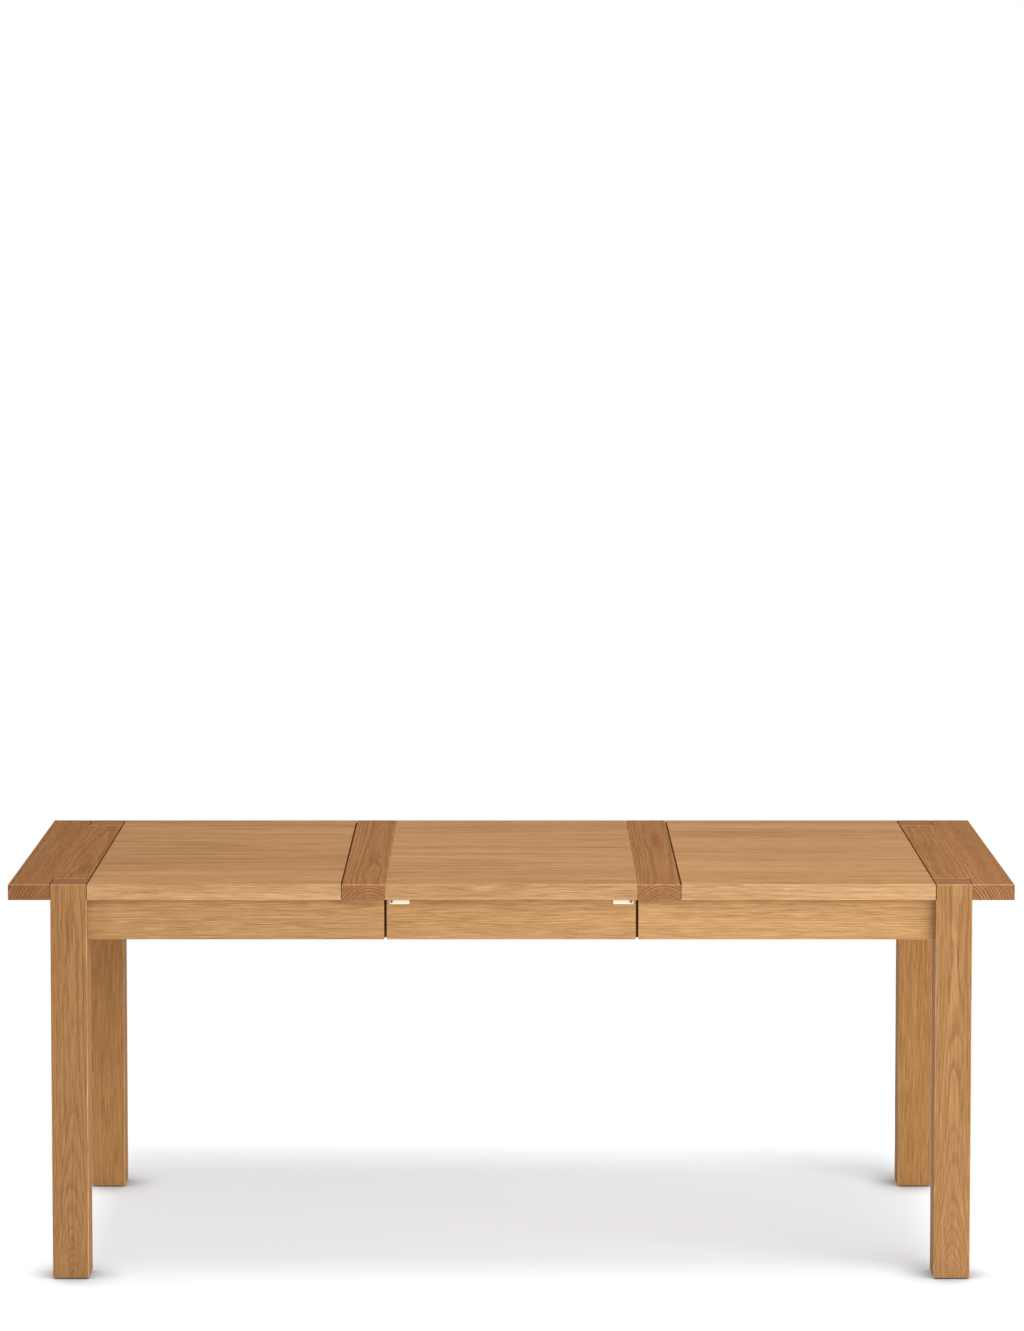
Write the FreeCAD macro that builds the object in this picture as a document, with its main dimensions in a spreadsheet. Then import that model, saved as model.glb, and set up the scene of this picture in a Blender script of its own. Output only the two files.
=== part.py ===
import FreeCAD, Part
import os
import re
import Sketcher

# Extendable dining table, shown with its extension leaf in place.
# Frame: millimetres, +Z up, X along the table, the long front edge at -Y.
# The origin is on the floor under the middle of the table.
# The left half is the right half turned by half a turn about Z, so every
# sub-part of a half is drawn once, at its place in the right half.

SIZES = {
    # whole table
    "closed_length": 1450,
    "leaf_length": 485,
    "table_depth": 800,
    "table_height": 770,
    "over_travel": 25,
    # top boards
    "top_thickness": 30,
    "strip_width": 84,
    "end_overhang": 81,
    "board_gap": 1.2,
    "joint_gap": 0.3,
    "arris": 1,
    "tongue_length": 12,
    "tongue_thickness": 10,
    "tongue_clearance": 0.2,
    "tongue_margin": 15,
    # legs and glides
    "leg_side": 70,
    "leg_rounding": 1.5,
    "foot_chamfer": 1.2,
    "glide_diameter": 34,
    "glide_height": 2,
    "glide_pin": 6,
    "glide_pin_length": 14,
    # aprons, inner rails and glue blocks
    "apron_height": 80,
    "apron_thickness": 20,
    "apron_setback": 20,
    "apron_gap": 5,
    "rail_inset": 50,
    "notch_clearance": 1,
    "block_side": 20,
    "block_length": 60,
    "joint_block_thickness": 20,
    # dowels
    "dowel_diameter": 10,
    "dowel_length": 50,
    "dowel_spacing": 40,
    "rail_dowel_length": 30,
    # corner plates and their fasteners
    "plate_thickness": 2.5,
    "plate_height": 50,
    "plate_flange": 40,
    "plate_offset": 12,
    "bolt_diameter": 8,
    "bolt_depth": 40,
    "bolt_spacing": 25,
    "bolt_end": 4,
    "washer_diameter": 18,
    "washer_thickness": 1.5,
    "nut_width": 13,
    "nut_height": 6.5,
    "screw_diameter": 4,
    "screw_depth": 15,
    "screw_head": 8,
    "screw_head_height": 2,
    "driver_slot": 1,
    # extension slides
    "slide_spacing": 400,
    "bar_length": 800,
    "centre_bar_side": 28,
    "side_bar_width": 22,
    "bar_clearance": 1,
    "bore_floor": 2,
    "dovetail_reach": 7,
    "dovetail_neck": 8,
    "dovetail_tip": 12,
    "dovetail_clearance": 0.4,
    "stop_diameter": 5,
    "stop_inset": 17.5,
    "stop_clearance": 0.5,
    "slide_screw_inset": 40,
    "slide_screw_spacing": 120,
    "counterbore_diameter": 10,
    "counterbore_depth": 18,
    # rack and pinion that keep the halves even
    "gear_module": 2,
    "pinion_teeth": 16,
    "gear_width": 8,
    "gear_drop": 1,
    "pressure_angle": 20,
    "tooth_relief": 0.42,
    "root_clearance": 0.5,
    "rack_back": 3,
    "rack_fit": 0.5,
    "rack_cover": 1,
    "axle_diameter": 6,
    "axle_clearance": 0.1,
    "axle_head": 12,
    "axle_head_height": 3,
    "hub_diameter": 12,
    "hub_play": 0.3,
    "tie_thickness": 16,
    "tie_margin": 28,
    "tie_clearance": 2,
    "upstand_length": 14,
    "upstand_clearance": 1,
    "pinion_clearance": 4,
    "thread_depth": 18,
    # latches that hold the leaf
    "latch_length": 40,
    "latch_width": 10,
    "latch_thickness": 4,
    "latch_play": 0.3,
    "latch_drop": 0.5,
    "latch_inset": 4,
    "latch_screw_head": 6,
    "latch_screw_head_height": 1.6,
}

DERIVED = {
    "joint": "leaf_length / 2",
    "front": "table_depth / 2",
    "half_end": "joint + closed_length / 2",
    "top_under": "table_height - top_thickness",
    # legs
    "leg_half": "leg_side / 2",
    "leg_x": "half_end - end_overhang - leg_half",
    "leg_y": "front - leg_half",
    "leg_in_x": "leg_x - leg_half",
    "leg_in_y": "leg_y - leg_half",
    # top boards
    "strip_in": "joint + joint_gap / 2",
    "strip_out": "joint + strip_width - board_gap / 2",
    "panel_in": "joint + strip_width + board_gap / 2",
    "panel_out": "leg_in_x - board_gap / 2",
    "end_in": "leg_in_x + board_gap / 2",
    "notch_x": "leg_x + leg_half + board_gap / 2",
    "notch_y": "leg_in_y - board_gap / 2",
    "tongue_half": "leg_in_y - tongue_margin",
    "tongue_low": "table_height - (top_thickness + tongue_thickness) / 2",
    "tongue_high": "tongue_low + tongue_thickness",
    "groove_half": "tongue_half + tongue_clearance",
    "groove_high": "tongue_high + tongue_clearance",
    "groove_height": "tongue_thickness + 2 * tongue_clearance",
    "groove_depth": "tongue_length - board_gap + tongue_clearance",
    # aprons and rails
    "apron_low": "top_under - apron_height",
    "apron_out": "front - apron_setback",
    "apron_in": "apron_out - apron_thickness",
    "apron_start": "joint + apron_gap / 2",
    "leaf_apron_end": "joint - apron_gap / 2",
    "end_apron_out": "leg_x + leg_half - apron_setback",
    "end_apron_in": "end_apron_out - apron_thickness",
    "rail_in": "joint + rail_inset",
    "rail_out": "rail_in + apron_thickness",
    "notch_half": "side_out + notch_clearance",
    "joint_block_width": "apron_in - slide_y - notch_half",
    "dowel_high": "apron_low + (apron_height + dowel_spacing) / 2",
    "dowel_low": "dowel_high - dowel_spacing",
    "dowel_hole": "dowel_length / 2",
    # corner plates, measured from the middle of a leg
    "plate_face": "apron_setback + apron_thickness - leg_half",
    "plate_near": "leg_side + plate_offset",
    "plate_far": "plate_near + plate_thickness * sqrt(2)",
    "plate_end": "plate_near - plate_face + plate_flange",
    "plate_low": "apron_low + (apron_height - plate_height) / 2",
    "bolt_low": "plate_low + (plate_height - bolt_spacing) / 2",
    "bolt_start": "leg_half - bolt_depth / sqrt(2)",
    "plate_far_side": "plate_far / 2",
    "nut_side": "plate_far_side + washer_thickness / sqrt(2)",
    "bolt_length": "(nut_side - bolt_start) * sqrt(2) + nut_height + bolt_end",
    "plate_screw": "plate_end - plate_flange / 2",
    # slides
    "slide_y": "slide_spacing / 2",
    "bar_half": "bar_length / 2",
    "centre_half": "centre_bar_side / 2",
    "centre_low": "top_under - centre_bar_side",
    "side_in": "centre_half + bar_clearance",
    "side_out": "side_in + side_bar_width",
    "side_middle": "side_in + side_bar_width / 2",
    "side_low": "gear_low - rack_cover",
    "side_bar_height": "top_under - side_low",
    "side_start": "joint - bar_half",
    "side_end": "joint + bar_half",
    "dovetail_z": "top_under - centre_half",
    "dovetail_end": "side_in - dovetail_reach",
    "stop_length": "centre_bar_side - bore_floor",
    "stop_x": "bar_half - stop_inset",
    "stop_y": "centre_half - (dovetail_reach - bar_clearance) / 2",
    "dovetail_length": "stop_x - stop_diameter / 2 - stop_clearance - over_travel - side_start",
    "slide_screw_x": "side_end - slide_screw_inset",
    "slide_screw_z": "side_low + counterbore_depth",
    # gears
    "pitch": "gear_module * pi",
    "pitch_radius": "gear_module * pinion_teeth / 2",
    "tip_radius": "pitch_radius + gear_module",
    "root_radius": "pitch_radius - gear_module - root_clearance",
    "tooth_half": "pitch / 4 - tooth_relief",
    "gear_high": "centre_low - gear_drop",
    "gear_low": "gear_high - gear_width",
    "rack_tip": "pitch_radius - gear_module",
    "rack_root": "pitch_radius + gear_module + root_clearance",
    "rack_wall": "rack_root + rack_back",
    "teeth_out": "ceil((over_travel + tip_radius) / pitch)",
    "teeth_in": "ceil((joint + tip_radius) / pitch)",
    "rack_teeth": "teeth_out + teeth_in",
    "flank_run": "gear_module * tan(pressure_angle)",
    "tie_high": "side_low - tie_clearance",
    "tie_low": "tie_high - tie_thickness",
    "tie_rise": "centre_low - tie_high",
    "upstand_in": "tip_radius + pinion_clearance",
    "upstand_out": "upstand_in + upstand_length",
    "upstand_half": "rack_tip - upstand_clearance",
    "tie_screw_x": "upstand_in + upstand_length / 2",
    "tie_screw_length": "centre_low + thread_depth - tie_low - screw_head_height",
    "axle_length": "centre_low + thread_depth - tie_low",
    # latches
    "latch_radius": "latch_width / 2",
    "latch_x": "leaf_apron_end - latch_inset - latch_radius",
    "latch_z": "top_under - latch_drop - latch_radius",
    "latch_y": "apron_out + latch_play",
    "latch_screw_y": "latch_y + latch_thickness + latch_play",
    "latch_screw_length": "latch_thickness + 2 * latch_play + screw_depth",
}

X_AXIS = FreeCAD.Vector(1, 0, 0)
Y_AXIS = FreeCAD.Vector(0, 1, 0)
Z_AXIS = FreeCAD.Vector(0, 0, 1)
UPRIGHT = FreeCAD.Rotation()
ALONG_X = FreeCAD.Rotation(Y_AXIS, 90)
ALONG_Y = FreeCAD.Rotation(X_AXIS, -90)
AGAINST_X = FreeCAD.Rotation(Y_AXIS, -90)
AGAINST_Y = FreeCAD.Rotation(X_AXIS, 90)
OUT_OF_LEG = FreeCAD.Rotation(Z_AXIS, FreeCAD.Vector(-1, 1, 0))
INTO_LEG = FreeCAD.Rotation(Z_AXIS, FreeCAD.Vector(1, -1, 0))

TOUCH = 1e-6
WORD = re.compile(r"[a-z][a-z0-9_]*")
SIDES = {"right": 1, "left": -1}
# Where the glue blocks stand, as shares of a side apron's free length and of half an end apron's
BLOCK_SHARES = (0.25, 0.6)
END_BLOCK_SHARE = 0.33
SLIDE_SCREWS = 3
NUT_SIDES = 6

doc = FreeCAD.newDocument("DiningTable")
pieces = []


def make_sheet():
    """The spreadsheet that holds the driving sizes, one row each."""
    sheet = doc.addObject("Spreadsheet::Sheet", "Sizes")
    for row, (alias, size) in enumerate(SIZES.items(), start=1):
        sheet.set("A%d" % row, alias)
        sheet.set("B%d" % row, str(size))
        sheet.setAlias("B%d" % row, alias)
    doc.recompute()


def formula(text):
    """Write out the derived names in a formula, down to cells of the sheet."""
    def cell(match):
        word = match.group(0)
        if word in DERIVED:
            return "(" + formula(DERIVED[word]) + ")"
        if word in SIZES:
            return "Sizes." + word
        return word
    return WORD.sub(cell, str(text))


def bind(item, prop, text):
    item.setExpression(prop, formula(text))


def move(item, x="0", y="0", z="0", turn=UPRIGHT):
    """Turn an object and bind its position to formulas."""
    item.Placement = FreeCAD.Placement(FreeCAD.Vector(), turn)
    bind(item, "Placement.Base.x", x)
    bind(item, "Placement.Base.y", y)
    bind(item, "Placement.Base.z", z)


def keep(item, label):
    """Give a sub-part its name and list it for writing."""
    item.Label = label
    pieces.append(item)
    return item


def stand(item, side, label):
    """Keep a sub-part of a half, turned about Z when it is the left half's."""
    name = "right" if side > 0 else "left"
    if side < 0:
        item.Placement = FreeCAD.Placement(FreeCAD.Vector(), FreeCAD.Rotation(Z_AXIS, 180))
    return keep(item, "%s_%s" % (name, label))


def end_name(side, y_sign):
    """The end of the table's depth that a piece at y_sign in the right half faces."""
    return "back" if side * y_sign > 0 else "front"


def origin_feature(body, role):
    return next(item for item in body.Origin.OriginFeatures if item.Role == role)


def new_body(name):
    return doc.addObject("PartDesign::Body", name)


def new_sketch(body, name, plane, level):
    sketch = body.newObject("Sketcher::SketchObject", name)
    sketch.AttachmentSupport = [(origin_feature(body, plane), "")]
    sketch.MapMode = "FlatFace"
    bind(sketch, "AttachmentOffset.Base.z", level)
    return sketch


def outline(body, name, points, level="0", plane="XY_Plane"):
    """A closed sketch of straight lines through points given as formulas."""
    sketch = new_sketch(body, name, plane, level)
    count = len(points)
    starts = [FreeCAD.Rotation(Z_AXIS, 360 * i / count).multVec(X_AXIS) for i in range(count)]
    for i in range(count):
        sketch.addGeometry(Part.LineSegment(starts[i], starts[(i + 1) % count]), False)
    for i in range(count):
        sketch.addConstraint(Sketcher.Constraint("Coincident", i, 2, (i + 1) % count, 1))
    for i, point in enumerate(points):
        for kind, start, text in zip(("DistanceX", "DistanceY"), starts[i], point):
            index = sketch.addConstraint(Sketcher.Constraint(kind, -1, 1, i, 1, start))
            bind(sketch, "Constraints[%d]" % index, text)
    return sketch


def rectangle(x, y):
    """Corner points of a rectangle between two formulas in X and two in Y."""
    return [(x[0], y[0]), (x[1], y[0]), (x[1], y[1]), (x[0], y[1])]


def circle(body, name, diameter, level="0"):
    """A sketch of one circle about the body's Z axis."""
    sketch = new_sketch(body, name, "XY_Plane", level)
    sketch.addGeometry(Part.Circle(FreeCAD.Vector(), Z_AXIS, 1), False)
    sketch.addConstraint(Sketcher.Constraint("Coincident", 0, 3, -1, 1))
    index = sketch.addConstraint(Sketcher.Constraint("Diameter", 0, 2.0))
    bind(sketch, "Constraints[%d]" % index, diameter)
    return sketch


def pad(body, sketch, length):
    feature = body.newObject("PartDesign::Pad", sketch.Name + "_pad")
    feature.Profile = sketch
    bind(feature, "Length", length)
    return feature


def pocket(body, sketch, depth):
    """Cut a sketch's outline into the body, against the sketch's normal."""
    feature = body.newObject("PartDesign::Pocket", sketch.Name + "_pocket")
    feature.Profile = sketch
    bind(feature, "Length", depth)
    return feature


def bore(body, name, diameter, depth, x, y, z, turn=UPRIGHT):
    """Drill a round hole from a point, along the turned Z axis."""
    feature = body.newObject("PartDesign::SubtractiveCylinder", name)
    bind(feature, "Radius", "(%s) / 2" % diameter)
    bind(feature, "Height", depth)
    move(feature, x, y, z, turn)
    return feature


def board(name, points, low, height):
    """A body that starts as one padded outline."""
    body = new_body(name)
    pad(body, outline(body, name + "_outline", points, low), height)
    return body


def edges_where(shape, test):
    """Names of the straight edges whose two end points pass a test."""
    names = []
    for index, edge in enumerate(shape.Edges, start=1):
        ends = [vertex.Point for vertex in edge.Vertexes]
        if len(ends) == 2 and test(ends[0], ends[1]):
            names.append("Edge%d" % index)
    return names


def ease(body, kind, prop, size, test):
    """Chamfer or fillet the edges of the body's tip that pass a test."""
    doc.recompute()
    base = body.Tip
    feature = body.newObject("PartDesign::" + kind, "%s_%s_%s" % (body.Name, kind, size))
    feature.Base = (base, edges_where(base.Shape, test))
    bind(feature, prop, size)
    return feature


def ease_ring(body, size, end):
    """Chamfer the edges round a body's top or bottom face."""
    doc.recompute()
    box = body.Tip.Shape.BoundBox
    level = box.ZMax if end == "top" else box.ZMin
    ease(body, "Chamfer", "Size", size,
         lambda a, b: abs(a.z - level) < TOUCH and abs(b.z - level) < TOUCH)


def cylinder(name, diameter, length, x="0", y="0", z="0", turn=UPRIGHT):
    item = doc.addObject("Part::Cylinder", name)
    bind(item, "Radius", "(%s) / 2" % diameter)
    bind(item, "Height", length)
    move(item, x, y, z, turn)
    return item


def block(name, length, width, height, x="0", y="0", z="0"):
    item = doc.addObject("Part::Box", name)
    bind(item, "Length", length)
    bind(item, "Width", width)
    bind(item, "Height", height)
    move(item, x, y, z)
    return item


def fuse(name, shapes):
    item = doc.addObject("Part::MultiFuse", name)
    item.Shapes = shapes
    return item


def cut(name, base, tool):
    item = doc.addObject("Part::Cut", name)
    item.Base = base
    item.Tool = tool
    return item


def group(name, members):
    """Identical loose pieces that share one sub-part."""
    item = doc.addObject("Part::Compound", name)
    item.Links = members
    return item


def screw(name, x, y, z, turn, length, shank="screw_diameter", head="screw_head",
          head_height="screw_head_height"):
    """A slotted pan head screw whose shank runs along the turned Z axis from its head."""
    shaft = cylinder(name + "_shank", shank, length)
    cap = cylinder(name + "_head", head, head_height, z="-(%s)" % head_height)
    slot = block(name + "_slot", head, "driver_slot", "(%s) / 2" % head_height,
                 "-(%s) / 2" % head, "-driver_slot / 2", "-(%s)" % head_height)
    item = cut(name, fuse(name + "_blank", [cap, shaft]), slot)
    move(item, x, y, z, turn)
    return item


# Places that pieces of one half share, in the right half

def dowel_levels():
    return ("dowel_low", "dowel_high")


def bolt_levels():
    return ("bolt_low", "bolt_low + bolt_spacing")


def slide_screw_spots(y_sign):
    """Where the screws of one side bar go up into the top panel."""
    y = "%d * slide_y + side_middle" % y_sign
    return [("slide_screw_x - %d * slide_screw_spacing" % i, y) for i in range(SLIDE_SCREWS)]


def plate_turn(y_sign):
    """Leg and corner plate are drawn for the front corner and turned for the back one."""
    return FreeCAD.Rotation(Z_AXIS, 90 if y_sign > 0 else 0)


# Top of a half

def make_cross_board(side, tag):
    body = board(tag + "_cross", rectangle(("strip_in", "strip_out"), ("-front", "front")),
                 "top_under", "top_thickness")
    groove = rectangle(("strip_out - groove_depth", "strip_out"), ("-groove_half", "groove_half"))
    pocket(body, outline(body, tag + "_cross_groove", groove, "groove_high"), "groove_height")
    ease_ring(body, "arris", "top")
    stand(body, side, "cross_board")


def make_top_panel(side, tag):
    body = board(tag + "_panel", rectangle(("panel_in", "panel_out"), ("-front", "front")),
                 "top_under", "top_thickness")
    spans = (("panel_in - tongue_length + board_gap", "panel_in"),
             ("panel_out", "panel_out + tongue_length - board_gap"))
    for i, span in enumerate(spans):
        points = rectangle(span, ("-tongue_half", "tongue_half"))
        sketch = outline(body, "%s_tongue%d" % (tag, i), points, "tongue_low")
        pad(body, sketch, "tongue_thickness")
    ease_ring(body, "arris", "top")
    for y_sign in (-1, 1):
        for i, (x, y) in enumerate(slide_screw_spots(y_sign)):
            bore(body, "%s_panel_bore%d_%d" % (tag, y_sign + 1, i), "screw_diameter",
                 "screw_depth", x, y, "top_under")
    stand(body, side, "top_panel")


def make_end_board(side, tag):
    points = [("end_in", "-notch_y"), ("notch_x", "-notch_y"), ("notch_x", "-front"),
              ("half_end", "-front"), ("half_end", "front"), ("notch_x", "front"),
              ("notch_x", "notch_y"), ("end_in", "notch_y")]
    body = board(tag + "_end", points, "top_under", "top_thickness")
    groove = rectangle(("end_in", "end_in + groove_depth"), ("-groove_half", "groove_half"))
    pocket(body, outline(body, tag + "_end_groove", groove, "groove_high"), "groove_height")
    ease_ring(body, "arris", "top")
    stand(body, side, "end_board")


# Legs and frame of a half

def make_leg(side, tag, y_sign):
    """A leg about its own centre line, its inner corner towards -X, +Y."""
    name = "%s_leg%d" % (tag, y_sign + 1)
    square = rectangle(("-leg_half", "leg_half"), ("-leg_half", "leg_half"))
    body = board(name, square, "glide_height", "table_height - glide_height")
    ease(body, "Fillet", "Radius", "leg_rounding", lambda a, b: abs(a.z - b.z) > 1)
    ease_ring(body, "arris", "top")
    ease_ring(body, "foot_chamfer", "bottom")
    for i, z in enumerate(dowel_levels()):
        bore(body, "%s_side_dowel%d" % (name, i), "dowel_diameter", "dowel_hole",
             "-leg_half", "plate_face - apron_thickness / 2", z, ALONG_X)
        bore(body, "%s_end_dowel%d" % (name, i), "dowel_diameter", "dowel_hole",
             "apron_thickness / 2 - plate_face", "leg_half", z, AGAINST_Y)
    for i, z in enumerate(bolt_levels()):
        bore(body, "%s_bolt%d" % (name, i), "bolt_diameter", "2 * bolt_depth",
             "-bolt_start", "bolt_start", z, OUT_OF_LEG)
    bore(body, name + "_pin", "glide_pin", "glide_pin_length", "0", "0", "glide_height")
    turn = FreeCAD.Rotation(Z_AXIS, 0 if side > 0 else 180) * plate_turn(y_sign)
    move(body, "%d * leg_x" % side, "%d * leg_y" % (side * y_sign), "0", turn)
    name = "right" if side > 0 else "left"
    keep(body, "%s_%s_leg" % (name, end_name(side, y_sign)))


def make_glides(side, tag):
    members = []
    for y_sign in (-1, 1):
        name = "%s_glide%d" % (tag, y_sign + 1)
        disc = cylinder(name + "_disc", "glide_diameter", "glide_height")
        pin = cylinder(name + "_pin", "glide_pin", "glide_height + glide_pin_length")
        item = fuse(name, [disc, pin])
        move(item, "leg_x", "%d * leg_y" % y_sign)
        members.append(item)
    stand(group(tag + "_glides", members), side, "leg_glides")


def make_side_apron(side, tag, y_sign):
    name = "%s_apron%d" % (tag, y_sign + 1)
    low, high = sorted((y_sign, 2 * y_sign))
    faces = {y_sign: "%d * apron_in" % y_sign, 2 * y_sign: "%d * apron_out" % y_sign}
    body = board(name, rectangle(("apron_start", "leg_in_x"), (faces[low], faces[high])),
                 "apron_low", "apron_height")
    middle = "%d * (apron_in + apron_thickness / 2)" % y_sign
    outwards = ALONG_Y if y_sign > 0 else AGAINST_Y
    inner_face = "%d * apron_in" % y_sign
    for i, z in enumerate(dowel_levels()):
        bore(body, "%s_leg_dowel%d" % (name, i), "dowel_diameter", "dowel_hole",
             "leg_in_x", middle, z, AGAINST_X)
        bore(body, "%s_rail_dowel%d" % (name, i), "dowel_diameter", "rail_dowel_length / 2",
             "rail_in + apron_thickness / 2", inner_face, z, outwards)
    for i, z in enumerate(bolt_levels()):
        bore(body, "%s_plate_screw%d" % (name, i), "screw_diameter", "screw_depth",
             "leg_x - plate_screw", inner_face, z, outwards)
    stand(body, side, end_name(side, y_sign) + "_apron")


def make_end_apron(side, tag):
    name = tag + "_end_apron"
    body = board(name, rectangle(("end_apron_in", "end_apron_out"), ("-leg_in_y", "leg_in_y")),
                 "apron_low", "apron_height")
    middle = "end_apron_in + apron_thickness / 2"
    for y_sign, turn in ((-1, ALONG_Y), (1, AGAINST_Y)):
        for i, z in enumerate(dowel_levels()):
            bore(body, "%s_dowel%d_%d" % (name, y_sign + 1, i), "dowel_diameter", "dowel_hole",
                 middle, "%d * leg_in_y" % y_sign, z, turn)
        for i, z in enumerate(bolt_levels()):
            bore(body, "%s_screw%d_%d" % (name, y_sign + 1, i), "screw_diameter", "screw_depth",
                 "end_apron_in", "%d * (leg_y - plate_screw)" % y_sign, z, ALONG_X)
    stand(body, side, "end_apron")


def make_inner_rail(side, tag):
    """The rail under the cross board, notched over the slides."""
    name = tag + "_rail"
    body = board(name, rectangle(("rail_in", "rail_out"), ("-apron_in", "apron_in")),
                 "apron_low", "apron_height")
    for y_sign in (-1, 1):
        span = ("%d * slide_y - notch_half" % y_sign, "%d * slide_y + notch_half" % y_sign)
        sketch = outline(body, "%s_notch%d" % (name, y_sign + 1),
                         rectangle(("rail_in", "rail_out"), span), "top_under")
        pocket(body, sketch, "side_bar_height + 2 * notch_clearance")
        turn = AGAINST_Y if y_sign > 0 else ALONG_Y
        for i, z in enumerate(dowel_levels()):
            bore(body, "%s_dowel%d_%d" % (name, y_sign + 1, i), "dowel_diameter",
                 "rail_dowel_length / 2", "rail_in + apron_thickness / 2",
                 "%d * apron_in" % y_sign, z, turn)
    stand(body, side, "inner_rail")


def make_dowels(side, tag):
    members = []
    for y_sign in (-1, 1):
        for i, z in enumerate(dowel_levels()):
            name = "%s_dowel%d_%d" % (tag, y_sign + 1, i)
            members.append(cylinder(name + "_side", "dowel_diameter", "dowel_length",
                                    "leg_in_x - dowel_length / 2",
                                    "%d * (apron_in + apron_thickness / 2)" % y_sign, z, ALONG_X))
            members.append(cylinder(name + "_end", "dowel_diameter", "dowel_length",
                                    "end_apron_in + apron_thickness / 2",
                                    "%d * leg_in_y - dowel_length / 2" % y_sign, z, ALONG_Y))
            members.append(cylinder(name + "_rail", "dowel_diameter", "rail_dowel_length",
                                    "rail_in + apron_thickness / 2",
                                    "%d * apron_in - rail_dowel_length / 2" % y_sign, z, ALONG_Y))
    stand(group(tag + "_dowels", members), side, "apron_dowels")


def make_joint_block(name, y_sign, x):
    """A block from an apron's end to the slide, as tall as the apron, that closes the apron gap."""
    y = "apron_in - joint_block_width" if y_sign > 0 else "-apron_in"
    return block(name, "joint_block_thickness", "joint_block_width", "apron_height", x, y, "apron_low")


def make_blocks(side, tag):
    """Glue blocks between the aprons and the underside of the top."""
    members = []
    for y_sign in (-1, 1):
        y = "apron_in - block_side" if y_sign > 0 else "-apron_in"
        members.append(make_joint_block("%s_joint_block%d" % (tag, y_sign + 1), y_sign, "strip_in"))
        for i, share in enumerate(BLOCK_SHARES):
            x = "rail_out + %s * (leg_in_x - rail_out) - block_length / 2" % share
            members.append(block("%s_block%d_%d" % (tag, y_sign + 1, i), "block_length",
                                 "block_side", "block_side", x, y, "top_under - block_side"))
        members.append(block("%s_end_block%d" % (tag, y_sign + 1), "block_side", "block_length",
                             "block_side", "end_apron_in - block_side",
                             "%d * %s * leg_in_y - block_length / 2" % (y_sign, END_BLOCK_SHARE),
                             "top_under - block_side"))
    stand(group(tag + "_blocks", members), side, "top_blocks")


# Corner plates and their fasteners

def make_corner_plate(tag, y_sign):
    """A bent steel plate across the corner, drawn about the middle of its leg."""
    name = "%s_plate%d" % (tag, y_sign + 1)
    back = "(plate_face + plate_thickness)"
    points = [("-plate_end", "plate_face"), ("plate_face - plate_near", "plate_face"),
              ("-plate_face", "plate_near - plate_face"), ("-plate_face", "plate_end"),
              ("-" + back, "plate_end"), ("-" + back, "plate_far - " + back),
              (back + " - plate_far", back), ("-plate_end", back)]
    body = board(name, points, "plate_low", "plate_height")
    for i, z in enumerate(bolt_levels()):
        bore(body, "%s_bolt%d" % (name, i), "bolt_diameter", "2 * bolt_depth",
             "-bolt_start", "bolt_start", z, OUT_OF_LEG)
        bore(body, "%s_side_screw%d" % (name, i), "screw_diameter", "plate_thickness",
             "-plate_screw", "plate_face", z, ALONG_Y)
        bore(body, "%s_end_screw%d" % (name, i), "screw_diameter", "plate_thickness",
             "-plate_face", "plate_screw", z, AGAINST_X)
    move(body, "leg_x", "%d * leg_y" % y_sign, "0", plate_turn(y_sign))
    return body


def make_leg_bolts(tag, y_sign):
    """Hanger bolts from a leg's inner corner, drawn about the middle of the leg."""
    name = "%s_bolts%d" % (tag, y_sign + 1)
    members = [cylinder("%s_%d" % (name, i), "bolt_diameter", "bolt_length",
                        "-bolt_start", "bolt_start", z, OUT_OF_LEG)
               for i, z in enumerate(bolt_levels())]
    item = group(name, members)
    move(item, "leg_x", "%d * leg_y" % y_sign, "0", plate_turn(y_sign))
    return item


def make_leg_nuts(tag, y_sign):
    """A washer and a hexagon nut on each hanger bolt."""
    name = "%s_nuts%d" % (tag, y_sign + 1)
    members = []
    for i, z in enumerate(bolt_levels()):
        label = "%s_%d" % (name, i)
        washer = cut(label + "_washer", cylinder(label + "_disc", "washer_diameter", "washer_thickness"),
                     cylinder(label + "_eye", "bolt_diameter", "washer_thickness"))
        move(washer, "-plate_far_side", "plate_far_side", z, OUT_OF_LEG)
        prism = doc.addObject("Part::Prism", label + "_hexagon")
        prism.Polygon = NUT_SIDES
        bind(prism, "Circumradius", "nut_width / sqrt(3)")
        bind(prism, "Height", "nut_height")
        nut = cut(label + "_nut", prism, cylinder(label + "_thread", "bolt_diameter", "nut_height"))
        move(nut, "-nut_side", "nut_side", z, OUT_OF_LEG)
        members += [washer, nut]
    item = group(name, members)
    move(item, "leg_x", "%d * leg_y" % y_sign, "0", plate_turn(y_sign))
    return item


def make_plate_screws(tag, y_sign):
    """Screws through both flanges of a corner plate, drawn about the middle of its leg."""
    name = "%s_plate_screws%d" % (tag, y_sign + 1)
    back = "(plate_face + plate_thickness)"
    length = "screw_depth + plate_thickness"
    members = []
    for i, z in enumerate(bolt_levels()):
        members.append(screw("%s_side%d" % (name, i), "-plate_screw", back, z, AGAINST_Y, length))
        members.append(screw("%s_end%d" % (name, i), "-" + back, "plate_screw", z, ALONG_X, length))
    item = group(name, members)
    move(item, "leg_x", "%d * leg_y" % y_sign, "0", plate_turn(y_sign))
    return item


def make_corner_fittings(side, tag):
    makers = {"corner_plates": make_corner_plate, "leg_bolts": make_leg_bolts,
              "leg_nuts": make_leg_nuts, "plate_screws": make_plate_screws}
    for label, maker in makers.items():
        members = [maker(tag, y_sign) for y_sign in (-1, 1)]
        stand(group("%s_%s" % (tag, label), members), side, label)


# Slides

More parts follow.
